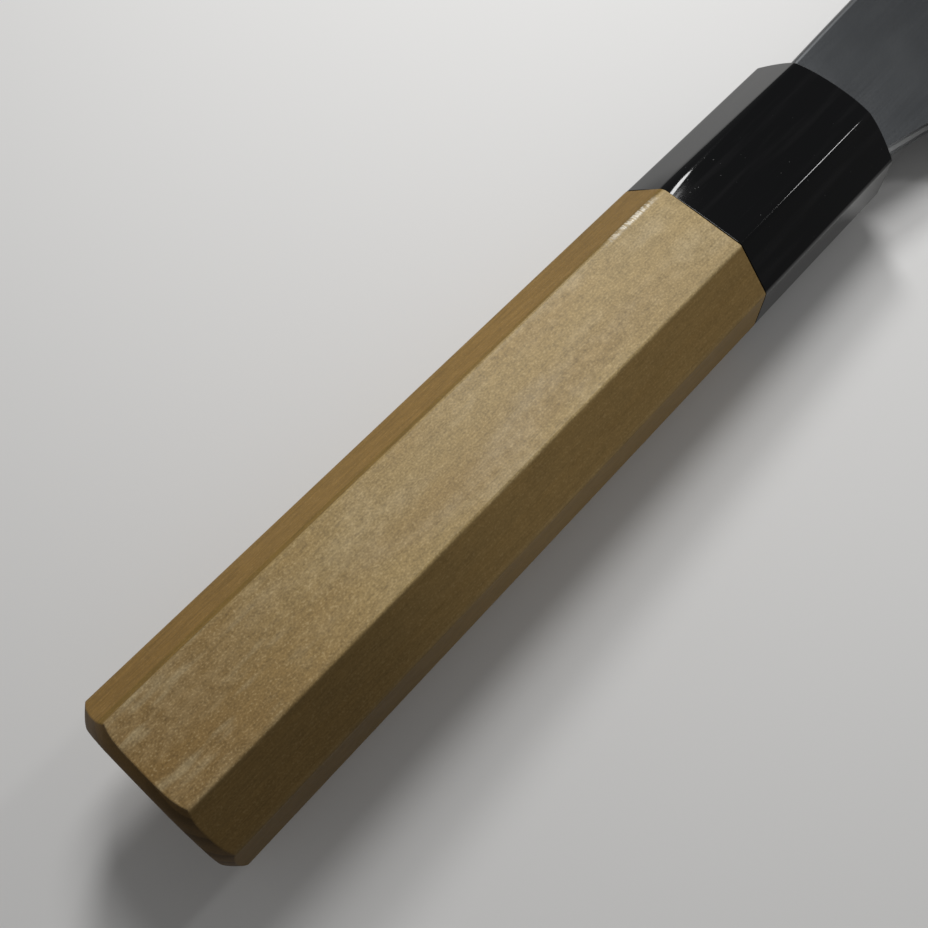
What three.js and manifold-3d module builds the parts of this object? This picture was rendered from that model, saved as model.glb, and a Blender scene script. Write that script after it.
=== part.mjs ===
// A bunka kitchen knife with an octagonal wooden handle, lying on its left side on a table.
// Millimetres, +Z up, the origin on the table under the middle of the knife.
//
// The pieces are drawn in the knife's own frame: +X from the butt to the point, +Y from the
// cutting edge to the spine, +Z out of the right face. The X axis is the middle line of the
// handle, and x = 0 is the front of the ferrule. The finished knife is then tipped forward
// over the rim of the ferrule until the blade meets the table.

import * as THREE from "three";
import { mergeVertices } from "three/addons/utils/BufferGeometryUtils.js";
import Module from "manifold-3d";

// Handle: one tapered octagon, wood behind and ferrule in front.
const HANDLE_LENGTH = 130.4; // butt to ferrule front
const FERRULE_LENGTH = 30;
const BUTT_HEIGHT = 26; // bottom facet to top facet, at the butt
const BUTT_THICKNESS = 22; // side facet to side facet, at the butt
const SIDE_FACET = 14; // height of a side facet, at the butt
const BACK_FACET = 9; // width of the top and bottom facets, at the butt
const FRONT_HEIGHT = 24; // bottom facet to top facet, at the ferrule front
const WOOD_EDGE_ROUND = 0.5;
const FERRULE_EDGE_ROUND = 1.4;
const BUTT_ROLL = 1.43; // how far the rim of the flat butt is rolled back, in the middle of a facet
const BUTT_ROLL_WIDTH = 1.75; // how far inside the facets the roll begins
const BUTT_ROLL_CORNER = 7.3; // corner round of the roll, which takes more off the corners
const FRONT_ROLL = 0.6; // how far the rim of the flat ferrule front is rolled back
const FRONT_ROLL_WIDTH = 1.2;
const ROLL_POWER = 1.3; // 1 is a straight chamfer, 2 a full round

// Inside of the handle: the tang in its slotted dowel, the glue round it and the mouth seal.
const FERRULE_WALL = 8; // ferrule front to the front of the dowel
const MOUTH_RECESS = 0.8; // how deep the neck sinks into the ferrule front
const BUTT_WALL = 28; // solid wood behind the dowel
const DOWEL_WALL = 1.3; // dowel left above and below the tang slot
const DOWEL_TAIL = 6; // solid dowel behind the tang slot
const SLOT_CLEARANCE = 0.8; // room round the tang, filled with glue or seal
const TANG_ROOT_HEIGHT = 9.5;
const TANG_END_HEIGHT = 6;
const TANG_END_THICKNESS = 2.2;
const GLUE_GAP = 0.1; // between glued pieces
const MOUTH_GAP = 0.25; // round the neck in the ferrule front

// Blade: side outline.
const NECK_LENGTH = 18; // ferrule front to the back of the heel
const NECK_HEIGHT = 18.6; // at the ferrule
const NECK_LIFT = 0.55; // middle of the neck above the middle line of the handle
const NECK_FLARE = 2.6; // how far the underside of the neck drops before the choil
const CHOIL_ROUND = 8; // the curve from the neck down into the heel
const EDGE_LENGTH = 170; // heel to point
const HEEL_HEIGHT = 46; // cutting edge to spine at the heel
const POINT_RISE = 12; // how far the edge climbs from heel to point
const BELLY_POWER = 2.6; // 2 spreads the climb along the edge, 4 keeps it near the point
const NOSE_LENGTH = 34; // length of the straight nose that drops from the spine to the point
const SPINE_DROP = 2.4; // from the neck to the start of the nose
const SPINE_BOW = 2.5; // how far the spine bows above a straight line

// Blade: cross-section, flat sides above and a wide bevel below.
const NECK_THICKNESS = 3.4;
const POINT_THICKNESS = 1.3; // of the flat sides, at the point
const SPINE_ROUND = 1.1; // at the neck, thinning with the blade
const SPINE_LAND = 0.4; // flat left at least between the two rounds, at the neck
const HEEL_BEVEL = 20; // height of the wide bevel at the heel
const POINT_BEVEL = 14; // and at the point
const BEVEL_SWELL = 1.25; // 1 is a flat bevel, more is convex
const EDGE_BEVEL = 0.6; // height of the honed edge
const EDGE_THICKNESS = 0.3; // behind the honed edge

// Blade: hard core between two softer claddings.
const CORE_THICKNESS = 1.5; // at the neck, thinning with the blade
const WELD_WAVE = 0.05; // unevenness of the weld between core and cladding
const WELD_WAVELENGTH = 37;
const WELD_RIPPLE = 2.7; // shorter waves, half as strong, in each long one
const RIGHT_WELD_PHASE = 0.4;
const LEFT_WELD_PHASE = 2.9;
const WELD_GAP = 0.02;

// Fineness of the round and lofted forms.
const ROUND_SEGMENTS = 48;
const ROLL_STEP = 0.5;
const BUTT_CORNER_SEGMENTS = 6; // in a corner of the rolled butt
const CORNER_SEGMENTS = 3;
const BLADE_STEP = 6; // between sections of the blade
const BEVEL_STEPS = 5;
const WELD_STEP = 4;
const CHOIL_SEGMENTS = 8;
const OVERRUN = 2; // how far a trimming solid runs past what it trims

const X = new THREE.Vector3(1, 0, 0);
const Y = new THREE.Vector3(0, 1, 0);
const Z = new THREE.Vector3(0, 0, 1);

const wasm = await Module();
wasm.setup();

// Geometry to solid and back

function solidOf(geometry) {
  const bare = geometry.clone();
  bare.deleteAttribute("normal");
  bare.deleteAttribute("uv");
  const merged = mergeVertices(bare);
  const corners = merged.index.array;
  const triVerts = [];
  for (let i = 0; i < corners.length; i += 3) {
    const [a, b, c] = corners.slice(i, i + 3);
    if (a !== b && b !== c && c !== a) triVerts.push(a, b, c);
  }
  const vertProperties = new Float32Array(merged.attributes.position.array);
  const mesh = new wasm.Mesh({ numProp: 3, vertProperties, triVerts: new Uint32Array(triVerts) });
  return new wasm.Manifold(mesh);
}

function geometryOf(solid) {
  const mesh = solid.getMesh();
  const geometry = new THREE.BufferGeometry();
  geometry.setAttribute("position", new THREE.BufferAttribute(mesh.vertProperties, 3));
  geometry.setIndex(new THREE.BufferAttribute(mesh.triVerts, 1));
  geometry.computeVertexNormals();
  return geometry;
}

// Moves every vertex of a geometry by a function that changes it in place.
function reshape(geometry, change) {
  const position = geometry.attributes.position;
  const point = new THREE.Vector3();
  for (let i = 0; i < position.count; i++) {
    change(point.fromBufferAttribute(position, i));
    position.setXYZ(i, point.x, point.y, point.z);
  }
  return geometry;
}

// A closed solid through cross-sections that all have the same number of points.
// The points of a section run clockwise when they are seen from +X.
function loft(sections) {
  const count = sections[0].length;
  const last = (sections.length - 1) * count;
  const index = [];
  for (let start = 0; start < last; start += count) {
    for (let i = 0; i < count; i++) {
      const a = start + i;
      const b = start + ((i + 1) % count);
      index.push(a, a + count, b, b, a + count, b + count);
    }
  }
  for (let i = 1; i < count - 1; i++) {
    index.push(0, i, i + 1);
    index.push(last, last + i + 1, last + i);
  }
  const geometry = new THREE.BufferGeometry();
  geometry.setAttribute("position", new THREE.Float32BufferAttribute(sections.flat(2), 3));
  geometry.setIndex(index);
  return geometry;
}

// Evenly spaced stations from one end to the other, no more than a step apart.
function stations(from, to, step) {
  const count = Math.ceil((to - from) / step);
  return Array.from({ length: count + 1 }, (_, i) => from + ((to - from) * i) / count);
}

// Handle

const handleTaper = FRONT_HEIGHT / BUTT_HEIGHT;
const handleScale = (x) => 1 + (handleTaper - 1) * (1 + x / HANDLE_LENGTH);
const buttX = -HANDLE_LENGTH;
const jointX = -FERRULE_LENGTH;

// The octagon at the butt, with rounded corners. Shape x is the knife's Y, shape y its Z.
function octagon(edgeRound) {
  const quarter = [
    [BUTT_HEIGHT / 2, BACK_FACET / 2],
    [SIDE_FACET / 2, BUTT_THICKNESS / 2],
  ];
  const corners = [
    ...quarter,
    ...quarter.map(([y, z]) => [-y, z]).reverse(),
    ...quarter.map(([y, z]) => [-y, -z]),
    ...quarter.map(([y, z]) => [y, -z]).reverse(),
  ].map(([y, z]) => new THREE.Vector2(y, z));
  const shape = new THREE.Shape();
  corners.forEach((corner, i) => {
    const before = corners[(i + corners.length - 1) % corners.length].clone().sub(corner);
    const after = corners[(i + 1) % corners.length].clone().sub(corner);
    const turn = Math.PI - Math.abs(before.angleTo(after));
    const setback = edgeRound * Math.tan(turn / 2);
    const start = corner.clone().addScaledVector(before.normalize(), setback);
    const end = corner.clone().addScaledVector(after.normalize(), setback);
    if (i === 0) shape.moveTo(start.x, start.y);
    else shape.lineTo(start.x, start.y);
    shape.quadraticCurveTo(corner.x, corner.y, end.x, end.y);
  });
  shape.closePath();
  return shape;
}

function handlePrism(rear, front, edgeRound) {
  const options = { depth: front - rear, bevelEnabled: false, curveSegments: CORNER_SEGMENTS };
  const prism = new THREE.ExtrudeGeometry(octagon(edgeRound), options);
  prism.applyMatrix4(new THREE.Matrix4().makeBasis(Y, Z, X));
  prism.translate(rear, 0, 0);
  return solidOf(
    reshape(prism, (point) => {
      point.y *= handleScale(point.x);
      point.z *= handleScale(point.x);
    }),
  );
}

// A bar that trims the octagon: flat across one end, and rolled over there towards the facets.
function rolledBar(endX, farX, roll, width, cornerRound, cornerSegments) {
  const rim = octagon(cornerRound).getPoints(cornerSegments).slice(1).reverse();
  const inward = Math.sign(farX - endX);
  const ring = (x, out) => {
    const growY = handleScale(endX) + out / (BUTT_HEIGHT / 2);
    const growZ = handleScale(endX) + out / (BUTT_THICKNESS / 2);
    return rim.map((point) => [x, growY * point.x, growZ * point.y]);
  };
  const sections = stations(-width, OVERRUN, ROLL_STEP).map((out) => {
    const share = 1 + out / width;
    return ring(endX + inward * roll * share ** ROLL_POWER, out);
  });
  sections.push(ring(farX, OVERRUN));
  return solidOf(loft(inward > 0 ? sections : sections.reverse()));
}

function rod(rear, front, radius) {
  const geometry = new THREE.CylinderGeometry(radius, radius, front - rear, ROUND_SEGMENTS);
  geometry.rotateZ(-Math.PI / 2);
  geometry.translate((rear + front) / 2, 0, 0);
  return solidOf(geometry);
}

// Tang and what it sits in

const dowelFront = -FERRULE_WALL - GLUE_GAP;
const dowelRear = buttX + BUTT_WALL;
const slotRear = dowelRear + DOWEL_TAIL;
const tangRear = slotRear + SLOT_CLEARANCE;
const dowelRadius = TANG_ROOT_HEIGHT / 2 + SLOT_CLEARANCE + DOWEL_WALL;
const boreRadius = dowelRadius + GLUE_GAP;
const shoulderX = -MOUTH_RECESS + MOUTH_GAP;

const alongTang = (root, end, x) => root + ((end - root) * x) / tangRear;
const tangHeight = (x) => alongTang(TANG_ROOT_HEIGHT, TANG_END_HEIGHT, x);
const tangThickness = (x) => alongTang(NECK_THICKNESS, TANG_END_THICKNESS, x);

// The tapered block of the tang between two stations, grown all round by a margin.
function tangBlock(rear, front, margin) {
  const block = new THREE.BoxGeometry(front - rear, 1, 1);
  block.translate((rear + front) / 2, 0, 0);
  return solidOf(
    reshape(block, (point) => {
      point.y = Math.sign(point.y) * (tangHeight(point.x) / 2 + margin);
      point.z = Math.sign(point.z) * (tangThickness(point.x) / 2 + margin);
    }),
  );
}

function handleBody() {
  const bore = rod(dowelRear - GLUE_GAP, 0, boreRadius);
  return handlePrism(buttX, jointX, WOOD_EDGE_ROUND)
    .intersect(rolledBar(buttX, 0, BUTT_ROLL, BUTT_ROLL_WIDTH, BUTT_ROLL_CORNER, BUTT_CORNER_SEGMENTS))
    .subtract(bore);
}

function ferrule() {
  const bore = rod(buttX, -FERRULE_WALL, boreRadius);
  const mouth = new THREE.BoxGeometry(
    2 * MOUTH_RECESS,
    NECK_HEIGHT + 2 * MOUTH_GAP,
    NECK_THICKNESS + 2 * MOUTH_GAP,
  );
  mouth.translate(0, NECK_LIFT, 0);
  return handlePrism(jointX + GLUE_GAP, 0, FERRULE_EDGE_ROUND)
    .intersect(rolledBar(0, buttX, FRONT_ROLL, FRONT_ROLL_WIDTH, FERRULE_EDGE_ROUND, CORNER_SEGMENTS))
    .subtract(bore)
    .subtract(tangBlock(dowelRear, GLUE_GAP - MOUTH_RECESS, SLOT_CLEARANCE))
    .subtract(solidOf(mouth));
}

function tangDowel() {
  return rod(dowelRear, dowelFront, dowelRadius).subtract(tangBlock(slotRear, 0, SLOT_CLEARANCE));
}

function tangGlue() {
  const cup = tangBlock(slotRear + GLUE_GAP, dowelFront, SLOT_CLEARANCE - GLUE_GAP);
  return cup.subtract(tangBlock(tangRear - GLUE_GAP, 0, GLUE_GAP));
}

function mouthSeal() {
  const plug = tangBlock(-FERRULE_WALL, -MOUTH_RECESS - GLUE_GAP, SLOT_CLEARANCE - GLUE_GAP);
  return plug.subtract(tangBlock(tangRear, MOUTH_RECESS, GLUE_GAP));
}

// Blade

const pointX = NECK_LENGTH + EDGE_LENGTH;
const noseX = pointX - NOSE_LENGTH;
const neckTop = NECK_LIFT + NECK_HEIGHT / 2;
const neckBottom = NECK_LIFT - NECK_HEIGHT / 2;
const bladeReach = HEEL_HEIGHT + NECK_HEIGHT; // well past every part of the blade, up or down

function spineY(x) {
  const along = Math.max(x, 0) / noseX;
  return neckTop - SPINE_DROP * along + 4 * SPINE_BOW * along * (1 - along);
}

const alongEdge = (x) => Math.max(x - NECK_LENGTH, 0) / EDGE_LENGTH;
const heelY = spineY(NECK_LENGTH) - HEEL_HEIGHT;
const edgeY = (x) => heelY + POINT_RISE * alongEdge(x) ** BELLY_POWER;
const bevelHeight = (x) => HEEL_BEVEL + (POINT_BEVEL - HEEL_BEVEL) * alongEdge(x);

function sideThickness(x) {
  return x < 0 ? tangThickness(x) : NECK_THICKNESS + ((POINT_THICKNESS - NECK_THICKNESS) * x) / pointX;
}

const thinning = (x) => sideThickness(x) / NECK_THICKNESS;
const spineRound = Math.min(SPINE_ROUND, (NECK_THICKNESS - SPINE_LAND) / 2);

// Right-hand half of the cross-section at x, from the cutting edge up to the spine.
function halfSection(x) {
  const half = sideThickness(x) / 2;
  const round = spineRound * thinning(x);
  const points = [];
  for (let i = 0; i <= BEVEL_STEPS; i++) {
    const up = i / BEVEL_STEPS;
    const swell = 1 - (1 - up) ** BEVEL_SWELL;
    const y = edgeY(x) + EDGE_BEVEL + (bevelHeight(x) - EDGE_BEVEL) * up;
    points.push([x, y, EDGE_THICKNESS / 2 + (half - EDGE_THICKNESS / 2) * swell]);
  }
  for (let i = 0; i <= CORNER_SEGMENTS; i++) {
    const turn = (Math.PI / 2) * (i / CORNER_SEGMENTS);
    const y = spineY(x) - round * (1 - Math.sin(turn));
    points.push([x, y, half - round * (1 - Math.cos(turn))]);
  }
  return points;
}

function groundBlank() {
  const places = [tangRear - OVERRUN, ...stations(0, pointX + OVERRUN, BLADE_STEP)];
  const sections = places.map((x) => {
    const right = halfSection(x);
    const left = right.map(([px, y, z]) => [px, y, -z]).reverse();
    return [[x, edgeY(x), 0], ...right, ...left];
  });
  return solidOf(loft(sections));
}

// Side outline: tang, shoulders, neck, choil and heel, and the straight nose. The ground blank
// gives the spine and the cutting edge, so the outline runs clear of them.
function sideOutline() {
  const nosePoint = new THREE.Vector2(pointX, edgeY(pointX));
  const noseRun = new THREE.Vector2(noseX, spineY(noseX)).sub(nosePoint);
  const onNose = (y) => nosePoint.x + (noseRun.x * (y - nosePoint.y)) / noseRun.y;
  const choilX = NECK_LENGTH - CHOIL_ROUND;
  const choilY = neckBottom - NECK_FLARE;
  const heelTopY = choilY - (NECK_FLARE * CHOIL_ROUND) / choilX;
  const shape = new THREE.Shape();
  shape.moveTo(tangRear, tangHeight(tangRear) / 2);
  shape.lineTo(tangRear, -tangHeight(tangRear) / 2);
  shape.lineTo(shoulderX, -tangHeight(shoulderX) / 2);
  shape.lineTo(shoulderX, neckBottom);
  shape.lineTo(choilX, choilY);
  shape.quadraticCurveTo(NECK_LENGTH, heelTopY, NECK_LENGTH, heelTopY - CHOIL_ROUND);
  shape.lineTo(NECK_LENGTH, -bladeReach);
  shape.lineTo(onNose(-bladeReach), -bladeReach);
  shape.lineTo(onNose(bladeReach), bladeReach);
  shape.lineTo(shoulderX, bladeReach);
  shape.lineTo(shoulderX, tangHeight(shoulderX) / 2);
  shape.closePath();
  const depth = 2 * NECK_THICKNESS;
  const options = { depth, bevelEnabled: false, curveSegments: CHOIL_SEGMENTS };
  return solidOf(new THREE.ExtrudeGeometry(shape, options).translate(0, 0, -depth / 2));
}

// Half the thickness of the core at x, with the slow wave that forging leaves in the weld.
function weldZ(x, phase) {
  const turns = (2 * Math.PI * x) / WELD_WAVELENGTH + phase;
  const wave = Math.sin(turns) + Math.sin(WELD_RIPPLE * turns) / 2;
  return (CORE_THICKNESS / 2) * thinning(x) + (x < 0 ? 0 : WELD_WAVE * thinning(x) * wave);
}

// Everything between two surfaces that are given as z over x, for cutting the blade into layers.
function layerBetween(lowerZ, upperZ) {
  const places = [tangRear - OVERRUN, ...stations(0, pointX + OVERRUN, WELD_STEP)];
  const upper = places.map((x) => new THREE.Vector2(x, upperZ(x)));
  const lower = places.map((x) => new THREE.Vector2(x, lowerZ(x)));
  const shape = new THREE.Shape([...lower, ...upper.reverse()]);
  const layer = new THREE.ExtrudeGeometry(shape, { depth: 2 * bladeReach, bevelEnabled: false });
  layer.translate(0, 0, -bladeReach);
  layer.applyMatrix4(new THREE.Matrix4().makeBasis(X, Z, Y.clone().negate()));
  return solidOf(layer);
}

const blade = groundBlank().intersect(sideOutline());

const rightWeldZ = (x) => weldZ(x, RIGHT_WELD_PHASE);
const leftWeldZ = (x) => -weldZ(x, LEFT_WELD_PHASE);

function coreSteel() {
  return blade.intersect(layerBetween(leftWeldZ, rightWeldZ));
}

function rightCladding() {
  return blade.intersect(layerBetween((x) => rightWeldZ(x) + WELD_GAP, () => NECK_THICKNESS));
}

function leftCladding() {
  return blade.intersect(layerBetween(() => -NECK_THICKNESS, (x) => leftWeldZ(x) - WELD_GAP));
}

// Assembly

function finish(color, roughness, metalness) {
  return new THREE.MeshStandardMaterial({ color, roughness, metalness });
}

function piece(name, solid, material) {
  const mesh = new THREE.Mesh(geometryOf(solid), material);
  mesh.name = name;
  return mesh;
}

const bladeGroup = new THREE.Group();
bladeGroup.add(
  piece("core_steel", coreSteel(), finish(0xb9bdc0, 0.25, 1)),
  piece("right_cladding", rightCladding(), finish(0x74797e, 0.42, 1)),
  piece("left_cladding", leftCladding(), finish(0x74797e, 0.42, 1)),
);

const handleGroup = new THREE.Group();
handleGroup.add(
  piece("handle_body", handleBody(), finish(0xc3aa7c, 0.62, 0)),
  piece("ferrule", ferrule(), finish(0x0d0e10, 0.1, 0)),
  piece("tang_dowel", tangDowel(), finish(0xcdb88e, 0.7, 0)),
  piece("tang_glue", tangGlue(), finish(0xb98a45, 0.35, 0)),
  piece("mouth_seal", mouthSeal(), finish(0x1c1a18, 0.45, 0)),
);

const knife = new THREE.Group();
knife.add(bladeGroup, handleGroup);

function verticesOf(mesh) {
  const position = mesh.geometry.attributes.position;
  const vertexAt = (_, i) => new THREE.Vector3().fromBufferAttribute(position, i);
  return Array.from({ length: position.count }, vertexAt);
}

// Tipped over the middle of the ferrule's lower rim until the blade meets the table.
function layingTilt() {
  const rimX = -FRONT_ROLL;
  const rimZ = (-BUTT_THICKNESS / 2) * handleScale(rimX);
  const beyondHeel = bladeGroup.children.flatMap(verticesOf).filter((point) => point.x > NECK_LENGTH);
  return Math.min(...beyondHeel.map((point) => Math.atan2(point.z - rimZ, point.x - rimX)));
}

knife.rotation.y = layingTilt();
const laid = new THREE.Box3().setFromObject(knife, true);
const middle = laid.getCenter(new THREE.Vector3());
knife.position.set(-middle.x, -middle.y, -laid.min.z);

const bunkaKnife = new THREE.Group();
bunkaKnife.name = "bunka_knife";
bunkaKnife.add(knife);

export default bunkaKnife;
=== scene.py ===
"""A bunka kitchen knife lying on its left side: oiled wood, polished horn and laminated steel.

The pieces are drawn in the knife's own frame, in metres: +X from the butt to the point, +Y from the
cutting edge to the spine, +Z out of the right face. The X axis is the middle line of the handle and
x = 0 is the front of the ferrule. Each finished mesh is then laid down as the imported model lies.
"""

import logging
import math
from collections.abc import Callable
from dataclasses import dataclass, field
from enum import Enum

import bmesh
import bpy
from bmesh.types import BMEdge, BMesh
from mathutils import Matrix, Vector


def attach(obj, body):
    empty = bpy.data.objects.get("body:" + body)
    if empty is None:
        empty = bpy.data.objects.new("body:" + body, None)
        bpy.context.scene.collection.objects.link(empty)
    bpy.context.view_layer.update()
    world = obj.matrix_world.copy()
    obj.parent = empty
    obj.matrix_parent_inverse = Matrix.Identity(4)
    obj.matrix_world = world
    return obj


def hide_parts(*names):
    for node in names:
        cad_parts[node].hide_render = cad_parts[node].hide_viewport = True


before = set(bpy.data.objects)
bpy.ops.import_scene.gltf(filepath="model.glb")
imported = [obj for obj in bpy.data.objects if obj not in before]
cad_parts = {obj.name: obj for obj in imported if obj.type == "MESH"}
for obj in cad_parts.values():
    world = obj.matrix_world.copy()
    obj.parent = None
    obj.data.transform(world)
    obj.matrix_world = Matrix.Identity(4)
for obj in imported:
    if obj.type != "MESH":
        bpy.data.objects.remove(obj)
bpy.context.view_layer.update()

log = logging.getLogger("bunka_knife")

Triple = tuple[float, float, float]
Ring = list[Vector]
Socket = bpy.types.NodeSocket

MM = 0.001
BODY = "root"
MERGE_DISTANCE = 0.0005 * MM
SHARP_ANGLE = math.radians(28)


class Side(Enum):
    """The two sides of the blade, by the sign of Z."""

    RIGHT = 1
    LEFT = -1


class Slot(Enum):
    """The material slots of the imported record."""

    CORE = "core_steel"
    CLADDING = "cladding_steel"
    WOOD = "handle_wood"
    HORN = "ferrule_horn"


@dataclass(frozen=True)
class Lay:
    """How the knife lies: tipped forward over the ferrule's rim until the blade meets the table."""

    tilt: float = math.radians(3.04643)
    place: Triple = (-28.5103 * MM, 11.2046 * MM, 10.1115 * MM)

    def matrix(self) -> Matrix:
        """The turn and shift from the knife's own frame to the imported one."""
        return Matrix.Translation(self.place) @ Matrix.Rotation(self.tilt, 4, "Y")


LAY = Lay()


# Shader writing


class Value:
    """A number that varies over a surface. Sums on it add Math nodes to its tree."""

    def __init__(self, paint: "Paint", socket: Socket) -> None:
        """Wraps an output socket of the paint's tree."""
        self.paint = paint
        self.socket = socket

    def math(self, operation: str, *others: "Value | float") -> "Value":
        """Adds a Math node that has this value as its first input.

        Args:
            operation: The Math node's operation.
            others: The values of its other inputs.

        Returns:
            The node's result.
        """
        operands = dict(enumerate((self, *others)))
        node = self.paint.node("ShaderNodeMath", {"operation": operation}, operands)
        return Value(self.paint, node.outputs[0])

    def __add__(self, other: "Value | float") -> "Value":
        """This plus another."""
        return self.math("ADD", other)

    __radd__ = __add__

    def __sub__(self, other: "Value | float") -> "Value":
        """This minus another."""
        return self.math("SUBTRACT", other)

    def __rsub__(self, other: float) -> "Value":
        """A number minus this."""
        return self * -1.0 + other

    def __mul__(self, other: "Value | float") -> "Value":
        """This times another."""
        return self.math("MULTIPLY", other)

    __rmul__ = __mul__

    def __truediv__(self, other: "Value | float") -> "Value":
        """This over another."""
        return self.math("DIVIDE", other)

    def __pow__(self, power: float) -> "Value":
        """This to a power."""
        return self.math("POWER", power)

    def step(self, start: "Value | float", end: "Value | float") -> "Value":
        """A smooth step, in either direction.

        Args:
            start: Where it is 0.
            end: Where it is 1.

        Returns:
            The step.
        """
        settings = {"interpolation_type": "SMOOTHSTEP"}
        inputs = {"Value": self, "From Min": start, "From Max": end}
        return Value(self.paint, self.paint.node("ShaderNodeMapRange", settings, inputs).outputs[0])

    def clamp(self) -> "Value":
        """This held between 0 and 1."""
        return Value(self.paint, self.paint.node("ShaderNodeClamp", {}, {"Value": self}).outputs[0])


class Paint:
    """Writes the node tree of one finish."""

    MIX_UNDER = 6
    MIX_OVER = 7
    MIX_COLOUR = 2

    def __init__(self, tree: bpy.types.NodeTree) -> None:
        """Starts on an emptied tree."""
        self.tree = tree
        tree.nodes.clear()

    def node(self, kind: str, settings: dict[str, object], inputs: dict[str | int, object]) -> bpy.types.Node:
        """Adds a node.

        Args:
            kind: The node's type name.
            settings: Its settings, which are set first.
            inputs: Links or plain values, by socket name or number.

        Returns:
            The new node.
        """
        node = self.tree.nodes.new(kind)
        for name, setting in settings.items():
            setattr(node, name, setting)
        for key, given in inputs.items():
            source = given.socket if isinstance(given, Value) else given
            if isinstance(source, Socket):
                self.tree.links.new(source, node.inputs[key])
            else:
                node.inputs[key].default_value = source
        return node

    def knife_place(self) -> Socket:
        """Reads where a surface point lies on the knife.

        Returns:
            The place in the knife's own frame, in millimetres.
        """
        inputs = {
            "Vector": self.node("ShaderNodeTexCoord", {}, {}).outputs["Object"],
            "Location": LAY.place,
            "Rotation": (0.0, LAY.tilt, 0.0),
            "Scale": (MM, MM, MM),
        }
        return self.node("ShaderNodeMapping", {"vector_type": "TEXTURE"}, inputs).outputs[0]

    def split(self, vector: Socket) -> tuple[Value, Value, Value]:
        """The three parts of a vector."""
        parts = self.node("ShaderNodeSeparateXYZ", {}, {"Vector": vector}).outputs
        return Value(self, parts[0]), Value(self, parts[1]), Value(self, parts[2])

    def noise(self, place: Socket, grain: Triple, detail: float = 2.0) -> Value:
        """Soft noise about 0.5 whose grains have a given size.

        Args:
            place: Where it is read, in millimetres.
            grain: The length of a grain along each axis, in millimetres.
            detail: How many finer octaves are added.

        Returns:
            The noise.
        """
        factors = tuple(1.0 / length for length in grain)
        settings = {"operation": "MULTIPLY"}
        scaled = self.node("ShaderNodeVectorMath", settings, {0: place, 1: factors}).outputs[0]
        inputs = {"Vector": scaled, "Scale": 1.0, "Detail": detail}
        return Value(self, self.node("ShaderNodeTexNoise", {}, inputs).outputs[0])

    def mix(self, factor: Value, under: Socket | Triple, over: Socket | Triple) -> Socket:
        """Lays one colour over another.

        Args:
            factor: How much of the upper colour shows.
            under: The lower colour, as a link or three numbers.
            over: The upper one.

        Returns:
            The mixed colour.
        """
        inputs = {0: factor, self.MIX_UNDER: self.colour(under), self.MIX_OVER: self.colour(over)}
        return self.node("ShaderNodeMix", {"data_type": "RGBA"}, inputs).outputs[self.MIX_COLOUR]

    def shade(self, colour: Socket | Triple, factor: Value) -> Socket:
        """Makes a colour lighter or darker.

        Args:
            colour: The colour, as a link or three numbers.
            factor: What it is multiplied by.

        Returns:
            The shaded colour.
        """
        grey = self.node("ShaderNodeCombineColor", {}, {0: factor, 1: factor, 2: factor}).outputs[0]
        settings = {"data_type": "RGBA", "blend_type": "MULTIPLY"}
        inputs = {0: 1.0, self.MIX_UNDER: self.colour(colour), self.MIX_OVER: grey}
        return self.node("ShaderNodeMix", settings, inputs).outputs[self.MIX_COLOUR]

    def colour(self, colour: Socket | Triple) -> Socket | tuple[float, float, float, float]:
        """Three numbers with a full alpha, and a link as it is."""
        return (*colour, 1.0) if isinstance(colour, tuple) else colour

    def bump(self, height: Value, depth: float) -> Socket:
        """A normal that follows a height of 0 to 1 and of a depth in metres."""
        return self.node("ShaderNodeBump", {}, {"Height": height, "Distance": depth}).outputs[0]

    def surface(self, inputs: dict[str, object]) -> None:
        """Ends the tree in a Principled surface with these inputs."""
        shader = self.node("ShaderNodeBsdfPrincipled", {}, inputs)
        self.node("ShaderNodeOutputMaterial", {}, {"Surface": shader.outputs[0]})


def new_material(name: str) -> tuple[bpy.types.Material, Paint]:
    """Starts a material.

    Args:
        name: The material's name.

    Returns:
        The empty material, and the paint that writes its nodes.
    """
    material = bpy.data.materials.new(name)
    material.use_nodes = True
    return material, Paint(material.node_tree)


# Finishes


@dataclass(frozen=True)
class WoodFigure:
    """What varies over the wood: places in millimetres, facets, growth and fine grain."""

    x: Value
    y: Value
    z: Value
    broad: Value
    end: Value
    slanted: Value
    under: Value
    upper: Value
    edge_wear_and_highlight: Value
    front: Value
    rear: Value
    radius: Value
    ring: Value
    drift: Value
    silvery_sheen_cloud: Value
    ripple: Value
    mottle: Value
    fleck: Value
    pore: Value
    dash: Value
    hatch: Value


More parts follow.
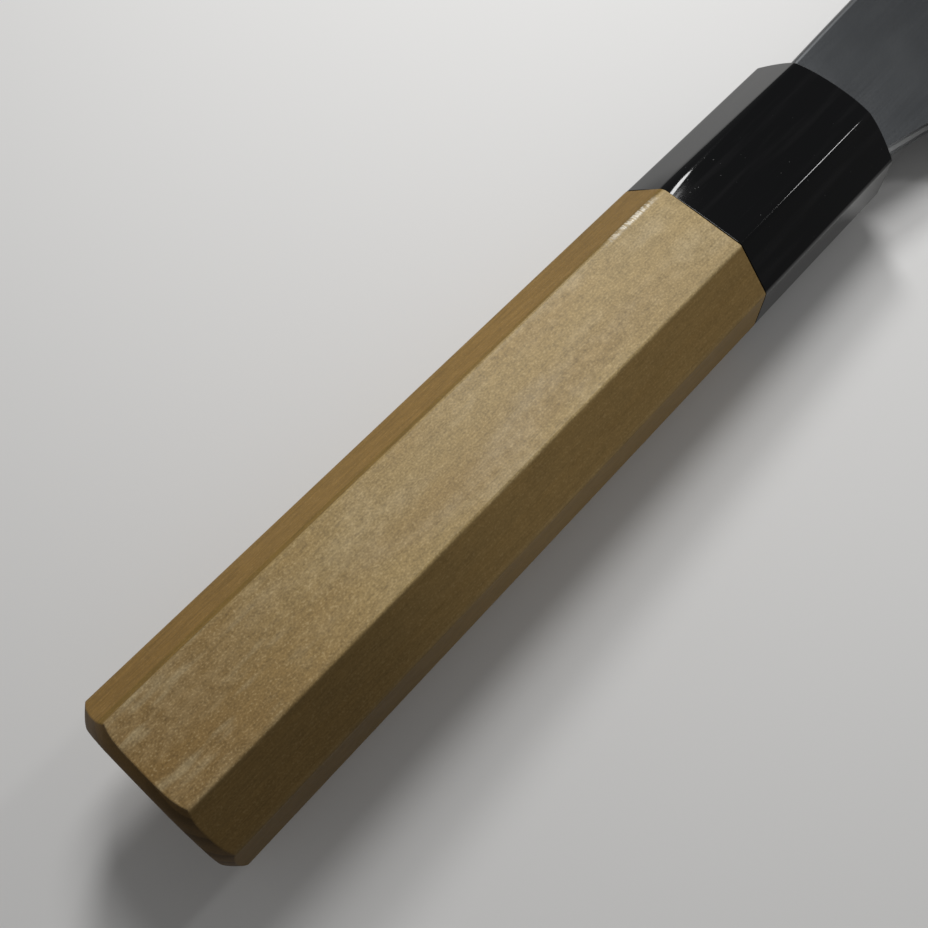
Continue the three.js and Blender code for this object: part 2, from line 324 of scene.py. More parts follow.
@dataclass(frozen=True)
class OiledWood:
    """Pale fine-pored wood: pale grey and mottled on its broad sides, which carry painted sheen, warm and
    streaked on the slanted ones.
    """

    pale: Triple = (0.362, 0.256, 0.105)
    warm: Triple = (0.342, 0.230, 0.087)
    # the pale grey of the wood's figure, and painted sheen on the broad sides
    silver_and_sheen: Triple = (0.415, 0.335, 0.195)
    slant: Triple = (0.222, 0.126, 0.030)
    lower: Triple = (0.220, 0.140, 0.050)
    olive: Triple = (0.170, 0.105, 0.018)
    ring_line: Triple = (0.230, 0.140, 0.044)
    # darker and warmer toward the butt: partly the wood's own tone, partly painted shade where the light
    # falls off
    amber_and_shade: Triple = (0.220, 0.132, 0.044)
    end_grain: Triple = (0.148, 0.088, 0.031)
    # the pale of the long edge by the ferrule: bared wood, with a painted highlight
    rubbed_highlight: Triple = (0.720, 0.660, 0.540)
    pith_y: float = 5.0
    pith_z: float = -60.0
    ring_width: float = 2.3
    streak_inner: float = 69.5
    streak_outer: float = 70.9
    rub_highlight_start: float = -43.0
    rub_highlight_full: float = -38.0
    rub_highlight_end: float = -30.5
    rub_highlight_fade: float = 3.0
    amber_shade_start: float = -92.0
    amber_shade_end: float = -124.0
    # where the painted shade of the lower slanted facets grows toward the butt
    painted_shade_start: float = -74.0
    painted_shade_end: float = -108.0
    # where the painted sheen of the broad sides and the painted shade of the upper slanted facets grow toward
    # the ferrule
    painted_sheen_start: float = -62.0
    painted_sheen_end: float = -36.0

    def figure(self, paint: Paint, form: "HandleForm") -> WoodFigure:
        """Reads the facets and the grain of a handle.

        Args:
            paint: Writes the nodes.
            form: Says where the broad sides, the long edges and the butt are.

        Returns:
            All that varies over the wood.
        """
        place = paint.knife_place()
        x, y, z = paint.split(place)
        broad = form.broad_side(paint, place)
        end = form.butt_end(paint, place)
        slanted = (1.0 - broad - end).clamp()
        under = slanted * y.step(2.0, -2.0)
        wander = paint.noise(place, (60.0, 9.0, 9.0)) - 0.5
        radius = ((y - self.pith_y) ** 2.0 + (z - self.pith_z) ** 2.0) ** 0.5 + wander * 0.5
        cloud = paint.noise(place, (17.0, 5.0, 5.0), 2.0)
        mottle = paint.noise(place, (1.5, 1.2, 1.2), 1.0)
        return WoodFigure(
            x=x,
            y=y,
            z=z,
            broad=broad,
            end=end,
            slanted=slanted,
            under=under,
            upper=slanted - under,
            edge_wear_and_highlight=form.near_edge(paint, place),
            front=x.step(self.painted_sheen_start, self.painted_sheen_end),
            rear=x.step(self.amber_shade_start, self.amber_shade_end),
            radius=radius,
            ring=((radius + wander * 1.1) / self.ring_width).math("FRACT"),
            drift=paint.noise(place, (24.0, 6.0, 6.0)),
            silvery_sheen_cloud=(cloud + (mottle - 0.5) * 0.30).step(0.42, 0.80),
            ripple=paint.noise(place, (7.5, 1.7, 1.7), 1.0),
            mottle=mottle,
            fleck=paint.noise(place, (0.32, 0.26, 0.26), 1.0),
            pore=paint.noise(place, (5.0, 0.20, 0.20), 1.0),
            dash=paint.noise(place, (4.5, 0.55, 0.55), 2.0),
            hatch=paint.noise(place, (0.24, 1.0, 1.0), 1.0),
        )

    def rub_and_highlight(self, wood: WoodFigure) -> Value:
        """Where the long edge beside the ferrule is worn bare and carries a painted highlight, in short
        strokes.

        Args:
            wood: What varies over the wood.

        Returns:
            How much of the pale bared wood and its painted highlight shows.
        """
        fade = wood.x.step(self.rub_highlight_end, self.rub_highlight_full + self.rub_highlight_fade)
        rub_and_highlight = wood.x.step(self.rub_highlight_start, self.rub_highlight_full) * fade
        rub_and_highlight = rub_and_highlight * wood.edge_wear_and_highlight.step(0.05, 0.70) * wood.z.step(5.0, 8.0) * wood.y.step(2.0, 5.0)
        return rub_and_highlight * (0.22 + wood.hatch.step(0.46, 0.60) * 0.70)

    def streak(self, wood: WoodFigure) -> Value:
        """The dark growth streak that shows on the upper slanted facet.

        Args:
            wood: What varies over the wood.

        Returns:
            How much of the streak shows.
        """
        inner = wood.radius.step(self.streak_inner, self.streak_inner + 0.35) * wood.y.step(2.0, 4.0)
        return inner * wood.radius.step(self.streak_outer + 0.2, self.streak_outer - 0.25) * wood.slanted

    def colour(self, paint: Paint, wood: WoodFigure, rub_and_highlight: Value) -> Socket:
        """Lays the colours of the wood over each other.

        Args:
            paint: Writes the nodes.
            wood: What varies over the wood.
            rub_and_highlight: How much of the pale bared wood and its painted highlight shows.

        Returns:
            The colour before its fine light and dark.
        """
        broad = wood.broad
        flank = paint.mix(wood.under, self.slant, self.lower)
        glint = wood.ripple.step(0.52, 0.72) * wood.rear
        colour = paint.mix(wood.drift.step(0.34, 0.68) * 0.7, self.pale, self.warm)
        # darker and warmer toward the butt: partly the wood's tone, partly painted shade
        colour = paint.mix(wood.rear * 0.85, colour, self.amber_and_shade)
        # the slanted facets take a darker, warmer colour; the paler colour kept on the broad sides is partly
        # painted sheen
        colour = paint.mix(wood.slanted * 0.85, colour, flank)
        colour = paint.mix(wood.ring.step(0.55, 1.0) * 0.20, colour, self.ring_line)
        colour = paint.mix(self.streak(wood) * 0.60, colour, self.olive)
        # painted sheen: the broad sides paler and greyer, more so toward the ferrule
        colour = paint.mix((wood.silvery_sheen_cloud * 0.30 + wood.front * 0.24) * broad, colour, self.silver_and_sheen)
        colour = paint.mix(glint * broad * 0.50, colour, self.silver_and_sheen)
        colour = paint.mix(wood.fleck.step(0.58, 0.74) * (0.10 + broad * 0.20), colour, self.silver_and_sheen)
        # the long edges lighter: partly worn, partly a painted highlight
        colour = paint.mix(wood.edge_wear_and_highlight * 0.12, colour, self.silver_and_sheen)
        # the long edge by the ferrule: bared wood with a painted highlight
        colour = paint.mix(rub_and_highlight, colour, self.rubbed_highlight)
        return paint.mix(wood.end, colour, self.end_grain)

    def light(self, wood: WoodFigure) -> Value:
        """The fine light and dark of the grain, and painted shade: on the lower slanted facets toward the
        butt, on the upper slanted facets near the ferrule and on the lower half of the butt's end.

        Args:
            wood: What varies over the wood.

        Returns:
            What the colour is multiplied by.
        """
        fleck, mottle, broad = wood.fleck - 0.5, wood.mottle - 0.5, wood.broad
        light = 1.0 + fleck * (0.45 + broad * 0.50) + mottle * (0.20 + broad * 0.22)
        drawn = (wood.dash - 0.5) * (wood.slanted * 0.25 + wood.upper * 0.35)
        light = light + (wood.pore - 0.5) * 0.34 + drawn
        # painted shade, and the darker rings of the end grain
        painted_shade_and_end_rings = wood.x.step(self.painted_shade_start, self.painted_shade_end) * wood.under * 0.43
        painted_shade_and_end_rings = painted_shade_and_end_rings + wood.front * wood.upper * 0.15
        painted_shade_and_end_rings = painted_shade_and_end_rings + wood.end * (wood.y.step(9.0, -9.0) * 0.36 + wood.ring.step(0.35, 1.0) * 0.22)
        return light * (1.0 - painted_shade_and_end_rings)

    def material(self, form: "HandleForm") -> bpy.types.Material:
        """The wood on a handle.

        Args:
            form: Says where the broad sides, the long edges and the butt are.

        Returns:
            The material, with rings, flecks and cloudy figure, lighter along the long edges, where they are
            worn and carry a painted highlight, with painted sheen on the broad sides and painted shade on the
            lower side and the butt's end.
        """
        material, paint = new_material("oiled_wood")
        wood = self.figure(paint, form)
        rub_and_highlight = self.rub_and_highlight(wood)
        paint.surface({
            "Base Color": paint.shade(self.colour(paint, wood, rub_and_highlight), self.light(wood)),
            "Roughness": 0.50 - wood.silvery_sheen_cloud * 0.04 + (wood.fleck - 0.5) * 0.20 - rub_and_highlight * 0.10,
            "Specular IOR Level": 0.06,
            "Coat Weight": wood.broad * (0.26 + wood.silvery_sheen_cloud * 0.14) + rub_and_highlight * 0.3,
            "Coat Roughness": 0.40,
            "Normal": paint.bump(wood.fleck * 0.6 + wood.pore * 0.4, 0.010 * MM),
        })
        return material


@dataclass(frozen=True)
class PolishedHorn:
    """Polished black horn with faint smoky streaks, hairline scratches and a few specks of dust."""

    black: Triple = (0.0022, 0.0024, 0.0028)
    smoke: Triple = (0.0065, 0.0065, 0.0070)
    dust: Triple = (0.10, 0.10, 0.10)

    def material(self) -> bpy.types.Material:
        """Writes the horn.

        Returns:
            The material.
        """
        material, paint = new_material("polished_horn")
        place = paint.knife_place()
        streak = paint.noise(place, (24.0, 2.2, 2.2), 3.0)
        hair = paint.noise(place, (7.0, 0.09, 0.09), 1.0)
        speck = paint.noise(place, (0.30, 0.26, 0.26), 0.0)
        colour = paint.mix(streak.step(0.50, 0.75), self.black, self.smoke)
        paint.surface({
            "Base Color": paint.mix(speck.step(0.86, 0.90) * 0.6, colour, self.dust),
            "Roughness": 0.085 + hair.step(0.62, 0.80) * 0.06 + speck.step(0.84, 0.90) * 0.3,
            "IOR": 1.35,
            "Normal": paint.bump(hair, 0.0003 * MM),
        })
        return material


@dataclass(frozen=True)
class SatinSteel:
    """Soft cladding steel: satin on the flats, misty on the wide bevel and dull along the spine."""

    satin: Triple = (0.180, 0.190, 0.200)
    mist: Triple = (0.155, 0.160, 0.166)
    bloom: Triple = (0.215, 0.225, 0.234)
    dull: Triple = (0.150, 0.154, 0.158)
    spine_start: float = 1.25
    spine_full: float = 0.75

    def material(self, blade: "Blade") -> bpy.types.Material:
        """The steel on a blade.

        Args:
            blade: Says where the wide bevel begins and where the spine is.

        Returns:
            The material.
        """
        material, paint = new_material("satin_cladding_steel")
        place = paint.knife_place()
        bevel = blade.bevel_mask(paint, place)
        spine = blade.under_spine(paint, place).step(self.spine_start, self.spine_full)
        brush = paint.noise(place, (16.0, 0.16, 0.16), 2.0)
        sand = paint.noise(place, (0.22, 0.18, 0.18), 1.0)
        scratch = paint.noise(place, (0.16, 7.0, 7.0), 2.0)
        cloud = paint.noise(place, (11.0, 5.0, 5.0), 3.0)
        grain = (brush * 0.4 + sand * 0.6) * (1.0 - bevel) + scratch * bevel
        colour = paint.mix(bevel, self.satin, self.mist)
        colour = paint.mix(cloud.step(0.48, 0.78) * 0.4, colour, self.bloom)
        colour = paint.mix(spine, colour, self.dull)
        paint.surface({
            "Base Color": paint.shade(colour, 1.0 + (grain - 0.5) * 0.22),
            "Metallic": 1.0,
            "Roughness": 0.23 + bevel * 0.16 + spine * 0.16 + (grain - 0.5) * 0.12 + (cloud - 0.5) * 0.05,
            "Normal": paint.bump(grain, 0.0016 * MM),
        })
        return material


@dataclass(frozen=True)
class HonedSteel:
    """Hard core steel: polished bright along the edge, clouding into the weld."""

    bright: Triple = (0.56, 0.57, 0.58)
    cloudy: Triple = (0.40, 0.41, 0.42)

    def material(self, blade: "Blade") -> bpy.types.Material:
        """The steel on a blade.

        Args:
            blade: Says how high a point lies over the cutting edge.

        Returns:
            The material.
        """
        material, paint = new_material("honed_core_steel")
        place = paint.knife_place()
        height = blade.over_edge(paint, place)
        cloud = paint.noise(place, (3.5, 1.2, 1.2), 3.0)
        scratch = paint.noise(place, (0.12, 5.0, 5.0), 2.0)
        misty = ((height + (cloud - 0.5) * 5.0).step(1.5, 7.5)).clamp()
        colour = paint.mix(misty, self.bright, self.cloudy)
        paint.surface({
            "Base Color": paint.shade(colour, 1.0 + (scratch - 0.5) * 0.16),
            "Metallic": 1.0,
            "Roughness": 0.20 + misty * 0.14 + (scratch - 0.5) * 0.14,
            "Normal": paint.bump(scratch, 0.0012 * MM),
        })
        return material


@dataclass(frozen=True)
class SawnWood:
    """Unfinished pale wood, as on a dowel."""

    pale: Triple = (0.60, 0.47, 0.28)
    dark: Triple = (0.42, 0.30, 0.15)

    def material(self) -> bpy.types.Material:
        """Writes the sawn wood.

        Returns:
            The material.
        """
        material, paint = new_material("sawn_dowel_wood")
        place = paint.knife_place()
        fibre = paint.noise(place, (14.0, 0.35, 0.35), 3.0)
        colour = paint.mix(fibre.step(0.35, 0.70), self.pale, self.dark)
        paint.surface({
            "Base Color": colour,
            "Roughness": 0.68 + (fibre - 0.5) * 0.3,
            "Normal": paint.bump(fibre, 0.06 * MM),
        })
        return material


@dataclass(frozen=True)
class CastResin:
    """Resin that set in place, a little cloudy and uneven."""

    name: str
    clear: Triple
    cloudy: Triple
    roughness: float

    def material(self) -> bpy.types.Material:
        """Writes the resin.

        Returns:
            The material.
        """
        material, paint = new_material(self.name)
        place = paint.knife_place()
        cloud = paint.noise(place, (3.0, 2.0, 2.0), 3.0)
        pit = paint.noise(place, (0.5, 0.5, 0.5), 1.0)
        paint.surface({
            "Base Color": paint.mix(cloud.step(0.40, 0.68), self.clear, self.cloudy),
            "Roughness": self.roughness + (pit - 0.5) * 0.25,
            "Normal": paint.bump(cloud * 0.7 + pit * 0.3, 0.08 * MM),
        })
        return material


TANG_RESIN = CastResin("amber_tang_resin", (0.50, 0.25, 0.055), (0.62, 0.38, 0.13), 0.28)
SEAL_RESIN = CastResin("dark_seal_resin", (0.011, 0.010, 0.009), (0.024, 0.022, 0.020), 0.40)


# Mesh making


class Sweep:
    """A skin that grows ring by ring, each extruded from the one before."""

    def __init__(self, ring: Ring) -> None:
        """Starts with one face."""
        self.mesh = bmesh.new()
        self.face = self.mesh.faces.new([self.mesh.verts.new(place) for place in ring])

    def grow(self, ring: Ring) -> list[BMEdge]:
        """Extrudes the last face to a new ring.

        Args:
            ring: The places of the new ring's points, as many as in the first.

        Returns:
            The new ring's edges.
        """
        self.face = bmesh.ops.extrude_discrete_faces(self.mesh, faces=[self.face])["faces"][0]
        for vert, place in zip(self.face.verts, ring):
            vert.co = place
        return list(self.face.edges)

    def rims(self) -> list[BMEdge]:
        """The edges of every open end."""
        return [edge for edge in self.mesh.edges if edge.is_boundary]

    def close(self) -> BMesh:
        """Fills the end where the skin began."""
        bmesh.ops.holes_fill(self.mesh, edges=self.rims())
        return self.mesh

    def close_through(self) -> BMesh:
        """Joins the last ring to the first, on a piece that is open right through.

        Returns:
            The closed skin.
        """
        bmesh.ops.delete(self.mesh, geom=[self.face], context="FACES_ONLY")
        bmesh.ops.bridge_loops(self.mesh, edges=self.rims())
        return self.mesh


def bevel_edges(mesh: BMesh, edges: list[BMEdge], offset: float, segments: int) -> None:
    """Rounds some edges of a mesh.

    Args:
        mesh: The mesh.
        edges: The edges to round.
        offset: How far the round reaches from an edge.
        segments: How many strips the round has.
    """
    bmesh.ops.bevel(
        mesh, geom=edges, offset=offset, offset_type="OFFSET", segments=segments, profile=0.5,
        affect="EDGES", material=-1, clamp_overlap=True,
    )


def new_object(name: str, mesh: BMesh) -> bpy.types.Object:
    """Makes an object of a bmesh.

    Args:
        name: The object's name.
        mesh: Its skin, which is freed.

    Returns:
        The object, in the scene.
    """
    data = bpy.data.meshes.new(name)
    mesh.to_mesh(data)
    mesh.free()
    made = bpy.data.objects.new(name, data)
    bpy.context.scene.collection.objects.link(made)
    return made


def lay_piece(name: str, mesh: BMesh, node: str) -> bpy.types.Object:
    """Makes a piece of a bmesh that was drawn in the knife's own frame.

    Args:
        name: The piece's name.
        mesh: Its closed skin, which is freed.
        node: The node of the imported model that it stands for.

    Returns:
        The piece, at the origin, with its place in its mesh.
    """
    bmesh.ops.remove_doubles(mesh, verts=mesh.verts, dist=MERGE_DISTANCE)
    bmesh.ops.dissolve_degenerate(mesh, edges=mesh.edges, dist=MERGE_DISTANCE)
    bmesh.ops.recalc_face_normals(mesh, faces=mesh.faces)
    for face in mesh.faces:
        face.smooth = True
    for edge in mesh.edges:
        edge.smooth = edge.calc_face_angle(math.pi) < SHARP_ANGLE
    bmesh.ops.transform(mesh, matrix=LAY.matrix(), verts=mesh.verts)
    piece = new_object(name, mesh)
    normals = piece.modifiers.new("flat_facets", "WEIGHTED_NORMAL")
    normals.keep_sharp = True
    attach(piece, BODY)
    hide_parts(node)
    return piece


def wear_material(piece: bpy.types.Object, material: bpy.types.Material) -> None:
    """Gives a piece one material all over."""
    piece.data.materials.clear()
    piece.data.materials.append(material)


# Handle


@dataclass(frozen=True)
class HandleForm:
    """The outside of the handle: an octagon that tapers from the butt to the ferrule front."""

    length: float = 130.4 * MM
    ferrule_length: float = 30 * MM
    butt_height: float = 26 * MM
    butt_thickness: float = 22 * MM
    side_facet: float = 14 * MM
    back_facet: float = 9 * MM
    front_height: float = 24 * MM
    butt_roll: float = 1.43 * MM
    roll_width: float = 1.75 * MM
    roll_power: float = 1.3
    roll_softness: float = 0.9 * MM
    joint_gap: float = 0.1 * MM
    edge_band: float = 0.9 * MM
    side_soft: float = 0.35 * MM
    side_crisp: float = 0.05 * MM
    rim_outer: float = 0.06 * MM
    rim_inner: float = 0.14 * MM
    end_far: float = 3.0 * MM
    end_near: float = 2.6 * MM
    facet_cuts: int = 19
    corner_segments: int = 5

    @property
    def taper(self) -> float:
        """The front of the handle as a share of the butt."""
        return self.front_height / self.butt_height

    @property
    def slant(self) -> Vector:
        """The way a slanted facet faces, in Y and Z."""
        rise, run = self.butt_thickness - self.back_facet, self.butt_height - self.side_facet
        return Vector((rise, run)).normalized()

    @property
    def slant_out(self) -> float:
        """How far the slanted facets lie from the middle line, at the butt."""
        return self.slant.dot((self.side_facet / 2, self.butt_thickness / 2))

    @property
    def joint(self) -> float:
        """Where the wood meets the ferrule."""
        return -self.ferrule_length

    def scale_at(self, x: float) -> float:
        """The size of the octagon at x as a share of the butt."""
        return 1 + (self.taper - 1) * (1 + x / self.length)

    @property
    def worn_corner(self) -> Vector:
        """The long edge that is worn round at the joint, as a corner of the butt's octagon."""
        return Vector((0, self.side_facet / 2, self.butt_thickness / 2))

    def rounding(self, radius: float, worn: float) -> Callable[[Vector], float]:
        """A rule that gives each corner one radius, and the worn corner another."""
        return lambda corner: worn if (corner - self.worn_corner).length < radius else radius

    def outline(self, rounds: Callable[[Vector], float]) -> Ring:
        """The octagon at the butt with rounded corners and its facets cut into short steps.

        Args:
            rounds: Gives the radius at a corner.

        Returns:
            The points in order, at x = 0.
        """
        quarter = [(self.butt_height, self.back_facet), (self.side_facet, self.butt_thickness)]
        right = quarter + [(-y, z) for y, z in reversed(quarter)]
        around = right + [(y, -z) for y, z in reversed(right)]
        flat = bmesh.new()
        corners = [flat.verts.new((0, y / 2, z / 2)) for y, z in around]
        flat.faces.new(corners)
        setback = math.tan(math.pi / len(corners))
        for corner in corners:
            bmesh.ops.bevel(
                flat, geom=[corner], offset=rounds(corner.co) * setback, offset_type="OFFSET",
                segments=self.corner_segments, profile=0.5, affect="VERTICES", material=-1,
            )
        facets = [edge for edge in flat.edges if edge.calc_length() > self.back_facet / 2]
        bmesh.ops.subdivide_edges(flat, edges=facets, cuts=self.facet_cuts)
        flat.faces.ensure_lookup_table()
        ring = [vert.co.copy() for vert in flat.faces[0].verts]
        flat.free()
        return ring

    def at(self, ring: Ring, x: float) -> Ring:
        """An outline of the butt brought to x."""
        scale = self.scale_at(x)
        return [Vector((x, point.y * scale, point.z * scale)) for point in ring]

    def past_rim(self, point: Vector) -> float:
        """How far a point of the butt lies outside the octagon, whose corners are taken as soft.

        Args:
            point: The point, at the size of the butt.

        Returns:
            The distance, which is negative inside.
        """
        up, out = abs(point.y), abs(point.z)
        gaps = (
            up - self.butt_height / 2,
            out - self.butt_thickness / 2,
            self.slant.dot((up, out)) - self.slant_out,
        )
        return self.roll_softness * math.log(sum(math.exp(gap / self.roll_softness) for gap in gaps))

    def rolled(self, ring: Ring, x: float, share: float = 1.0) -> Ring:
        """An outline of the butt on its end, which is flat with a rolled rim.

        Args:
            ring: The outline.
            x: The flat of the end.
            share: The size of this ring as a share of the rim.

        Returns:
            The points on the end.
        """
        points = []
        for point in ring:
            risen = max(0.0, 1 + self.past_rim(point * share) / self.roll_width)
            fallen = x + self.butt_roll * risen ** self.roll_power
            scale = share * self.scale_at(fallen)
            points.append(Vector((fallen, point.y * scale, point.z * scale)))
        return points

    def on_butt(self, paint: Paint, place: Socket) -> tuple[Value, Value]:
        """Brings a surface point to the butt.

        Args:
            paint: Writes the nodes.
            place: The place of a surface point, in millimetres.

        Returns:
            How far it lies out from the two middle planes, in millimetres.
        """
        x, y, z = paint.split(place)
        scale = x * ((self.taper - 1) / (self.length / MM)) + self.taper
        return y.math("ABSOLUTE") / scale, z.math("ABSOLUTE") / scale

    def broad_side(self, paint: Paint, place: Socket) -> Value:
        """Tells the broad sides from the others.

        Args:
            paint: Writes the nodes.
            place: The place of a surface point, in millimetres.

        Returns:
            1 on the two broad sides and 0 on the others, with a narrow soft border.
        """
        _, out = self.on_butt(paint, place)
        side = self.butt_thickness / 2 / MM
        return out.step(side - self.side_soft / MM, side - self.side_crisp / MM)

    def near_edge(self, paint: Paint, place: Socket) -> Value:
        """Finds the long edges.

        Args:
            paint: Writes the nodes.
            place: The place of a surface point, in millimetres.

        Returns:
            1 on the long edges, falling to 0 beside them.
        """
        up, out = self.on_butt(paint, place)
        corners = ((self.butt_height, self.back_facet), (self.side_facet, self.butt_thickness))
        back, side = (
            ((up - height / 2 / MM) ** 2.0 + (out - thickness / 2 / MM) ** 2.0) ** 0.5
            for height, thickness in corners
        )
        return back.math("MINIMUM", side).step(self.edge_band / MM, 0.0)

    def butt_end(self, paint: Paint, place: Socket) -> Value:
        """Finds the end of the butt.

        Args:
            paint: Writes the nodes.
            place: The place of a surface point, in millimetres.

        Returns:
            1 on the flat end of the butt and its rolled rim, and 0 on the sides.
        """
        x, _, _ = paint.split(place)
        up, out = self.on_butt(paint, place)
        upper, side = up - self.butt_height / 2 / MM, out - self.butt_thickness / 2 / MM
        slanted = up * self.slant.x + out * self.slant.y - self.slant_out / MM
        outside = upper.math("MAXIMUM", side).math("MAXIMUM", slanted)
        near = (x + self.length / MM).step(self.end_far / MM, self.end_near / MM)
        return outside.step(-self.rim_outer / MM, -self.rim_inner / MM) * near


@dataclass
class HandleBody:
    """The wooden part of the handle, bored from the front for the dowel."""

    form: HandleForm
    bore_radius: float = 6.95 * MM
    bore_rear: float = -102.5 * MM
    edge_round: float = 0.5 * MM
    worn_round: float = 1.9 * MM
    worn_length: float = 22 * MM
    rim_round: float = 0.10 * MM
    end_inset: float = 0.02 * MM
    end_depth: float = 3.2 * MM
    joint_round: float = 0.14 * MM
    steps: int = 48
    end_steps: int = 12
    end_share: float = 0.80
    round_segments: int = 2

    def build(self) -> bpy.types.Object:
        """Models the wood.

        Returns:
            Its piece.
        """
        form = self.form
        plain = form.outline(form.rounding(self.edge_round, self.edge_round))
        worn = form.outline(form.rounding(self.edge_round, self.worn_round))
        bore = [point.normalized() * self.bore_radius for point in plain]
        sweep = Sweep([point + Vector((self.bore_rear, 0, 0)) for point in bore])
        sweep.grow([point + Vector((form.joint, 0, 0)) for point in bore])
        front = sweep.grow(form.at(worn, form.joint))
        run = form.length - self.end_depth - form.ferrule_length
        for step in range(1, self.steps):
            back = run * step / (self.steps - 1)
            share = max(0.0, 1 - back / self.worn_length) ** 2
            sweep.grow(form.at([p.lerp(w, share) for p, w in zip(plain, worn)], form.joint - back))
        end = self.end_inset - form.length
        rim = sweep.grow(form.rolled(plain, end))
        for step in range(1, self.end_steps + 1):
            sweep.grow(form.rolled(plain, end, 1 + (self.end_share - 1) * step / self.end_steps))
        mesh = sweep.close()
        bevel_edges(mesh, rim, self.rim_round, self.round_segments)
        bevel_edges(mesh, front, self.joint_round, self.round_segments)
        return lay_piece("handle_wood_body", mesh, "handle_body")

    def dress(self, piece: bpy.types.Object) -> None:
        """Gives the wood its finish."""
        wear_material(piece, OiledWood().material(self.form))


@dataclass
class Ferrule:
    """The black ferrule, bored from behind and open in front for the neck of the blade."""

    form: HandleForm
    bore_radius: float = 6.95 * MM
    wall: float = 8 * MM
    front_crown: float = 1.3 * MM
    crown_power: float = 6.0
    mouth_recess: float = 0.8 * MM
    mouth_height: float = 19.1 * MM
    mouth_width: float = 3.9 * MM
    mouth_lift: float = 0.55 * MM
    slot_height: float = 11.1 * MM
    slot_width: float = 5.0 * MM
    edge_round: float = 1.0 * MM
    worn_round: float = 3.6 * MM
    worn_depth: float = 0.34 * MM
    worn_length: float = 5.6 * MM
    worn_width: float = 3.2 * MM
    rim_round: float = 0.22 * MM
    joint_round: float = 0.02 * MM
    joint_land: float = 0.06 * MM
    steps: int = 40
    dome_shares: tuple[float, ...] = (0.06, 0.18, 0.36, 0.58, 0.80)
    flank_clear: float = 3.9 * MM
    rim_segments: int = 3
    joint_segments: int = 2

    @property
    def rear(self) -> float:
        """Where the ferrule ends before the wood."""
        return self.form.joint + self.form.joint_gap

    def polished(self, place: Vector) -> Vector:
        """Draws a place in where the rear end of the worn edge is polished away.

        Args:
            place: The place on the outside.

        Returns:
            The place on the polished skin.
        """
        near = max(0.0, 1 - (place.x - self.rear) / self.worn_length)
        flat = Vector((0, place.y, place.z))
        across = (flat - self.form.worn_corner * self.form.scale_at(place.x)).length / self.worn_width
        return place - flat.normalized() * (self.worn_depth * near ** 2 * math.exp(-across ** 2))

    def opening(self, ring: Ring, height: float, width: float, lift: float, x: float) -> Ring:
        """A rectangle with a point in the direction of each point of a ring.

        Args:
            ring: The ring that it has to match.
            height: Its size along Y.
            width: Its size along Z.
            lift: Its middle above the middle line.
            x: Where it lies.

        Returns:
            The points in order.
        """
        top, bottom = lift + height / 2, lift - height / 2
        points = []
        for point in ring:
            share = max(point.y / top, point.y / bottom, 2 * abs(point.z) / width)
            points.append(Vector((x, point.y / share, point.z / share)))
        for y in (bottom, top):
            for z in (-width / 2, width / 2):
                corner = Vector((x, y, z))
                min(points, key=lambda point: (point - corner).length).xyz = corner
        return points

    def on_dome(self, point: Vector) -> Vector:
        """Brings a point of the front onto its dome, which falls away in ovals.

        Args:
            point: The point.

        Returns:
            The point on the dome.
        """
        form = self.form
        oval = form.butt_height / form.butt_thickness
        corner = form.worn_corner * form.taper
        share = math.hypot(point.y, point.z * oval) / math.hypot(corner.y, corner.z * oval)
        return Vector((-self.front_crown * share ** self.crown_power, point.y, point.z))

    def build(self) -> bpy.types.Object:
        """Models the ferrule.

        Returns:
            Its piece.
        """
        form, rear = self.form, self.rear
        behind = form.outline(form.rounding(self.edge_round, self.worn_round))
        ahead = form.outline(form.rounding(self.edge_round, self.edge_round))
        length = -self.flank_clear - rear
        shares = sorted([self.joint_land / length, *(step / (self.steps - 1) for step in range(self.steps))])
        stations = [rear + length * share for share in shares]
        rings = [
            [self.polished(point) for point in form.at([b.lerp(a, share) for b, a in zip(behind, ahead)], x)]
            for share, x in zip(shares, stations)
        ]
        sweep = Sweep(rings[0])
        back = list(sweep.face.edges)
        for ring in rings[1:]:
            sweep.grow(ring)
        front = [form.at([point], self.on_dome(point * form.taper).x)[0] for point in ahead]
        rim = sweep.grow(front)
        size, lift, recess = (self.mouth_height, self.mouth_width), self.mouth_lift, -self.mouth_recess
        mouth = self.opening(ahead, *size, lift, 0.0)
        for share in (*self.dome_shares, 1.0):
            sweep.grow([self.on_dome(outer.lerp(inner, share)) for outer, inner in zip(front, mouth)])
        sweep.grow(self.opening(ahead, *size, lift, recess))
        sweep.grow(self.opening(ahead, self.slot_height, self.mouth_width, 0.0, recess))
        sweep.grow(self.opening(ahead, self.slot_height, self.slot_width, 0.0, recess))
        sweep.grow(self.opening(ahead, self.slot_height, self.slot_width, 0.0, -self.wall))
        for x in (-self.wall, rear):
            sweep.grow([point.normalized() * self.bore_radius + Vector((x, 0, 0)) for point in ahead])
        mesh = sweep.close_through()
        bevel_edges(mesh, rim, self.rim_round, self.rim_segments)
        bevel_edges(mesh, back, self.joint_round, self.joint_segments)
        return lay_piece("ferrule_horn_cap", mesh, "ferrule")

    def dress(self, piece: bpy.types.Object) -> None:
        """Gives the horn its finish."""
        wear_material(piece, PolishedHorn().material())


# Blade


